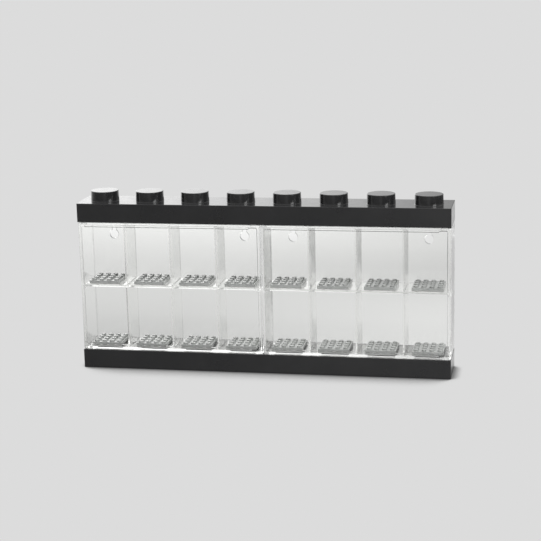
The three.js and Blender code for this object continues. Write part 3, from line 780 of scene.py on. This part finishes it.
paper = bpy.data.materials.new("matt_pale_paper")
paper.use_nodes = True
tree = paper.node_tree
shader = tree.nodes["Principled BSDF"]
place = node(tree, "ShaderNodeTexCoord").outputs["Object"]
fibres = spread(tree, noise(tree, place, 90, 6), 0.78, 0.82)
tree.links.new(fibres, shader.inputs["Base Color"])
shader.inputs["Roughness"].default_value = 0.9
shader.inputs["Specular IOR Level"].default_value = 0.1
across, depth = node(tree, "ShaderNodeSeparateXYZ", {"Vector": place}).outputs[:2]
# Painted shade: floor levels by depth, blended from the left to the right stops, for the gloss and the
# clear plastic.
left = stepped(tree, depth, LEFT_SHADES, SWEEP_START, SWEEP_END)
right = stepped(tree, depth, RIGHT_SHADES, SWEEP_START, SWEEP_END)
# Painted shade: the floor dims to a much darker level past the case's right end.
painted_side_dimming = spread(tree, across, 1.0, 0.15, 0.48, 0.6)
painted_sweep_shade = product(tree, spread(tree, across, left, right, SWEEP_LEFT, SWEEP_RIGHT), painted_side_dimming)
path = node(tree, "ShaderNodeLightPath").outputs
# Painted contact shadows from how open the floor is near the case, not from lamps.
close = painted_contact_shadow(tree, (-0.2, 0.0), 0.014, CLOSE_SHADOW)
wide = painted_contact_shadow(tree, (-0.3, 1.0), 0.06, WIDE_SHADOW)
plain = product(tree, wide, SURROUND_SEEN)
painted_floor_level = spread(tree, path["Is Camera Ray"], painted_sweep_shade, plain, 0, 1)
# Painted light: for the camera, the gloss and the clear plastic the floor is an emission of these
# painted levels and shadows. Bounced light sees the matt paper.
lit = node(tree, "ShaderNodeEmission", {"Color": close, "Strength": painted_floor_level})
in_gloss = node(
    tree,
    "ShaderNodeMath",
    {0: path["Is Glossy Ray"], 1: path["Is Transmission Ray"]},
    operation="MAXIMUM",
).outputs[0]
direct = node(
    tree,
    "ShaderNodeMath",
    {0: path["Is Camera Ray"], 1: in_gloss},
    operation="MAXIMUM",
).outputs[0]
choice = node(tree, "ShaderNodeMixShader", {"Fac": direct})
tree.links.new(shader.outputs[0], choice.inputs[1])
tree.links.new(lit.outputs[0], choice.inputs[2])
tree.links.new(choice.outputs[0], tree.nodes["Material Output"].inputs["Surface"])
sheet.data.materials.append(paper)

# The studio light: a pale surround with a brighter band low at the back left, which shows in the
# cap's top, a soft lamp above the front right that lights matt light only, and one panel at the
# right that shows only in gloss.
LIGHT_LEVEL = 1.0
FILL_LEVEL = 0.45
WINDOW_LEFT, WINDOW_RIGHT = 2.4, 0.5

world = bpy.data.worlds.new("pale_surround")
world.use_nodes = True
scene.world = world
tree = world.node_tree
path = node(tree, "ShaderNodeLightPath").outputs
way = node(tree, "ShaderNodeTexCoord").outputs["Generated"]
sideways, onward, upward = node(tree, "ShaderNodeSeparateXYZ", {"Vector": way}).outputs
window = spread(tree, sideways, WINDOW_LEFT, WINDOW_RIGHT, -0.31, -0.05)
low_down = spread(tree, upward, 1, 0, 0.3, 0.6)
at_the_back = spread(tree, onward, 0, 1, 0.3, 0.6)
glow = node(
    tree,
    "ShaderNodeMapRange",
    {"Value": product(tree, low_down, at_the_back), "To Min": LIGHT_LEVEL, "To Max": window},
).outputs["Result"]
in_fill = spread(tree, path["Is Diffuse Ray"], glow, FILL_LEVEL, 0, 1)
level = spread(tree, path["Is Camera Ray"], in_fill, SURROUND_SEEN, 0, 1)
surround = tree.nodes["Background"]
surround.inputs["Color"].default_value = (1, 1, 1, 1)
tree.links.new(level, surround.inputs["Strength"])


def lamp(name, place, aim, size, radiance, gloss_only):
    """Flat rectangular lamp that faces its aim, with its power worked out from radiance."""
    light = bpy.data.lights.new(name, "AREA")
    light.shape = "RECTANGLE"
    light.size, light.size_y = size
    light.energy = radiance * math.pi * size[0] * size[1]
    lit = bpy.data.objects.new(name, light)
    scene.collection.objects.link(lit)
    z = np.array(place, float) - aim
    z /= np.linalg.norm(z)
    x = np.cross([0, 0, 1], z)
    x /= np.linalg.norm(x)
    turned = np.eye(4)
    turned[:3] = np.stack([x, np.cross(z, x), z, place], 1)
    lit.matrix_world = Matrix(turned)
    lit.visible_camera = False
    lit.visible_transmission = False
    lit.visible_glossy = gloss_only
    lit.visible_diffuse = not gloss_only
    return lit


lamp("soft_front_lamp", (0.7, -0.6, 1.45), (0, 0, 0.1), (0.7, 0.7), 18.0, False)
lamp("side_gloss_panel", (1.2, -0.95, 0.5), (0, 0, 0.17), (0.6, 0.5), 8.0, True)

# The camera: a long lens at the photo's angle, 11.2 degrees to the right of the case's front
# and 13.1 degrees above it, tilted 1.3 degrees.
AZIMUTH, ELEVATION, ROLL = np.radians([11.2376, 13.1086, -1.3392])
CAMERA_PLACE = (0.301503, -1.491574, 0.456651)

away = np.array(
    [
        math.sin(AZIMUTH) * math.cos(ELEVATION),
        -math.cos(AZIMUTH) * math.cos(ELEVATION),
        math.sin(ELEVATION),
    ]
)
level_right = np.array([math.cos(AZIMUTH), math.sin(AZIMUTH), 0])
level_up = np.cross(away, level_right)
right = math.cos(ROLL) * level_right + math.sin(ROLL) * level_up
up = math.cos(ROLL) * level_up - math.sin(ROLL) * level_right
view = bpy.data.cameras.new("photo_camera")
view.lens = 101.6024
view.sensor_width = 36
camera = bpy.data.objects.new("photo_camera", view)
scene.collection.objects.link(camera)
turned = np.eye(4)
turned[:3] = np.stack([right, up, away, CAMERA_PLACE], 1)
camera.matrix_world = Matrix(turned)
scene.camera = camera

scene.view_settings.view_transform = "Standard"
scene.cycles.max_bounces = 100
scene.cycles.transmission_bounces = 100
scene.cycles.glossy_bounces = 60
scene.cycles.transparent_max_bounces = 32
